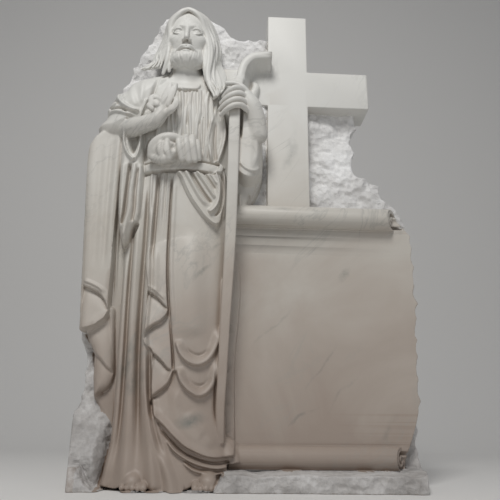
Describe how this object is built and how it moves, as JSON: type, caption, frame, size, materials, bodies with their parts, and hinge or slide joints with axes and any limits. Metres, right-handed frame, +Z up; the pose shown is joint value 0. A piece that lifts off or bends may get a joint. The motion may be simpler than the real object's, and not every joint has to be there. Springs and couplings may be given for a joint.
{
  "type": "carved marble grave monument with shepherd figure, cross and scroll",
  "caption": "Headstone carved from one block of white marble: robed, bearded shepherd with a crook in high relief, plain Latin cross and blank unrolled scroll on rough split rock.",
  "frame": {"origin": "middle of the block's width and depth, on its flat underside", "axes": "+X to the viewer's right along the width, +Y from the carved front to the sawn back, +Z up"},
  "size_m": [1, 0.25, 1.5],
  "materials": {
    "marble": "honed white marble with grey veins, left split and rock-faced round the edges, sawn flat behind"
  },
  "bodies": {
    "root": {"carved_marble_block": "marble"}
  },
  "joints": []
}
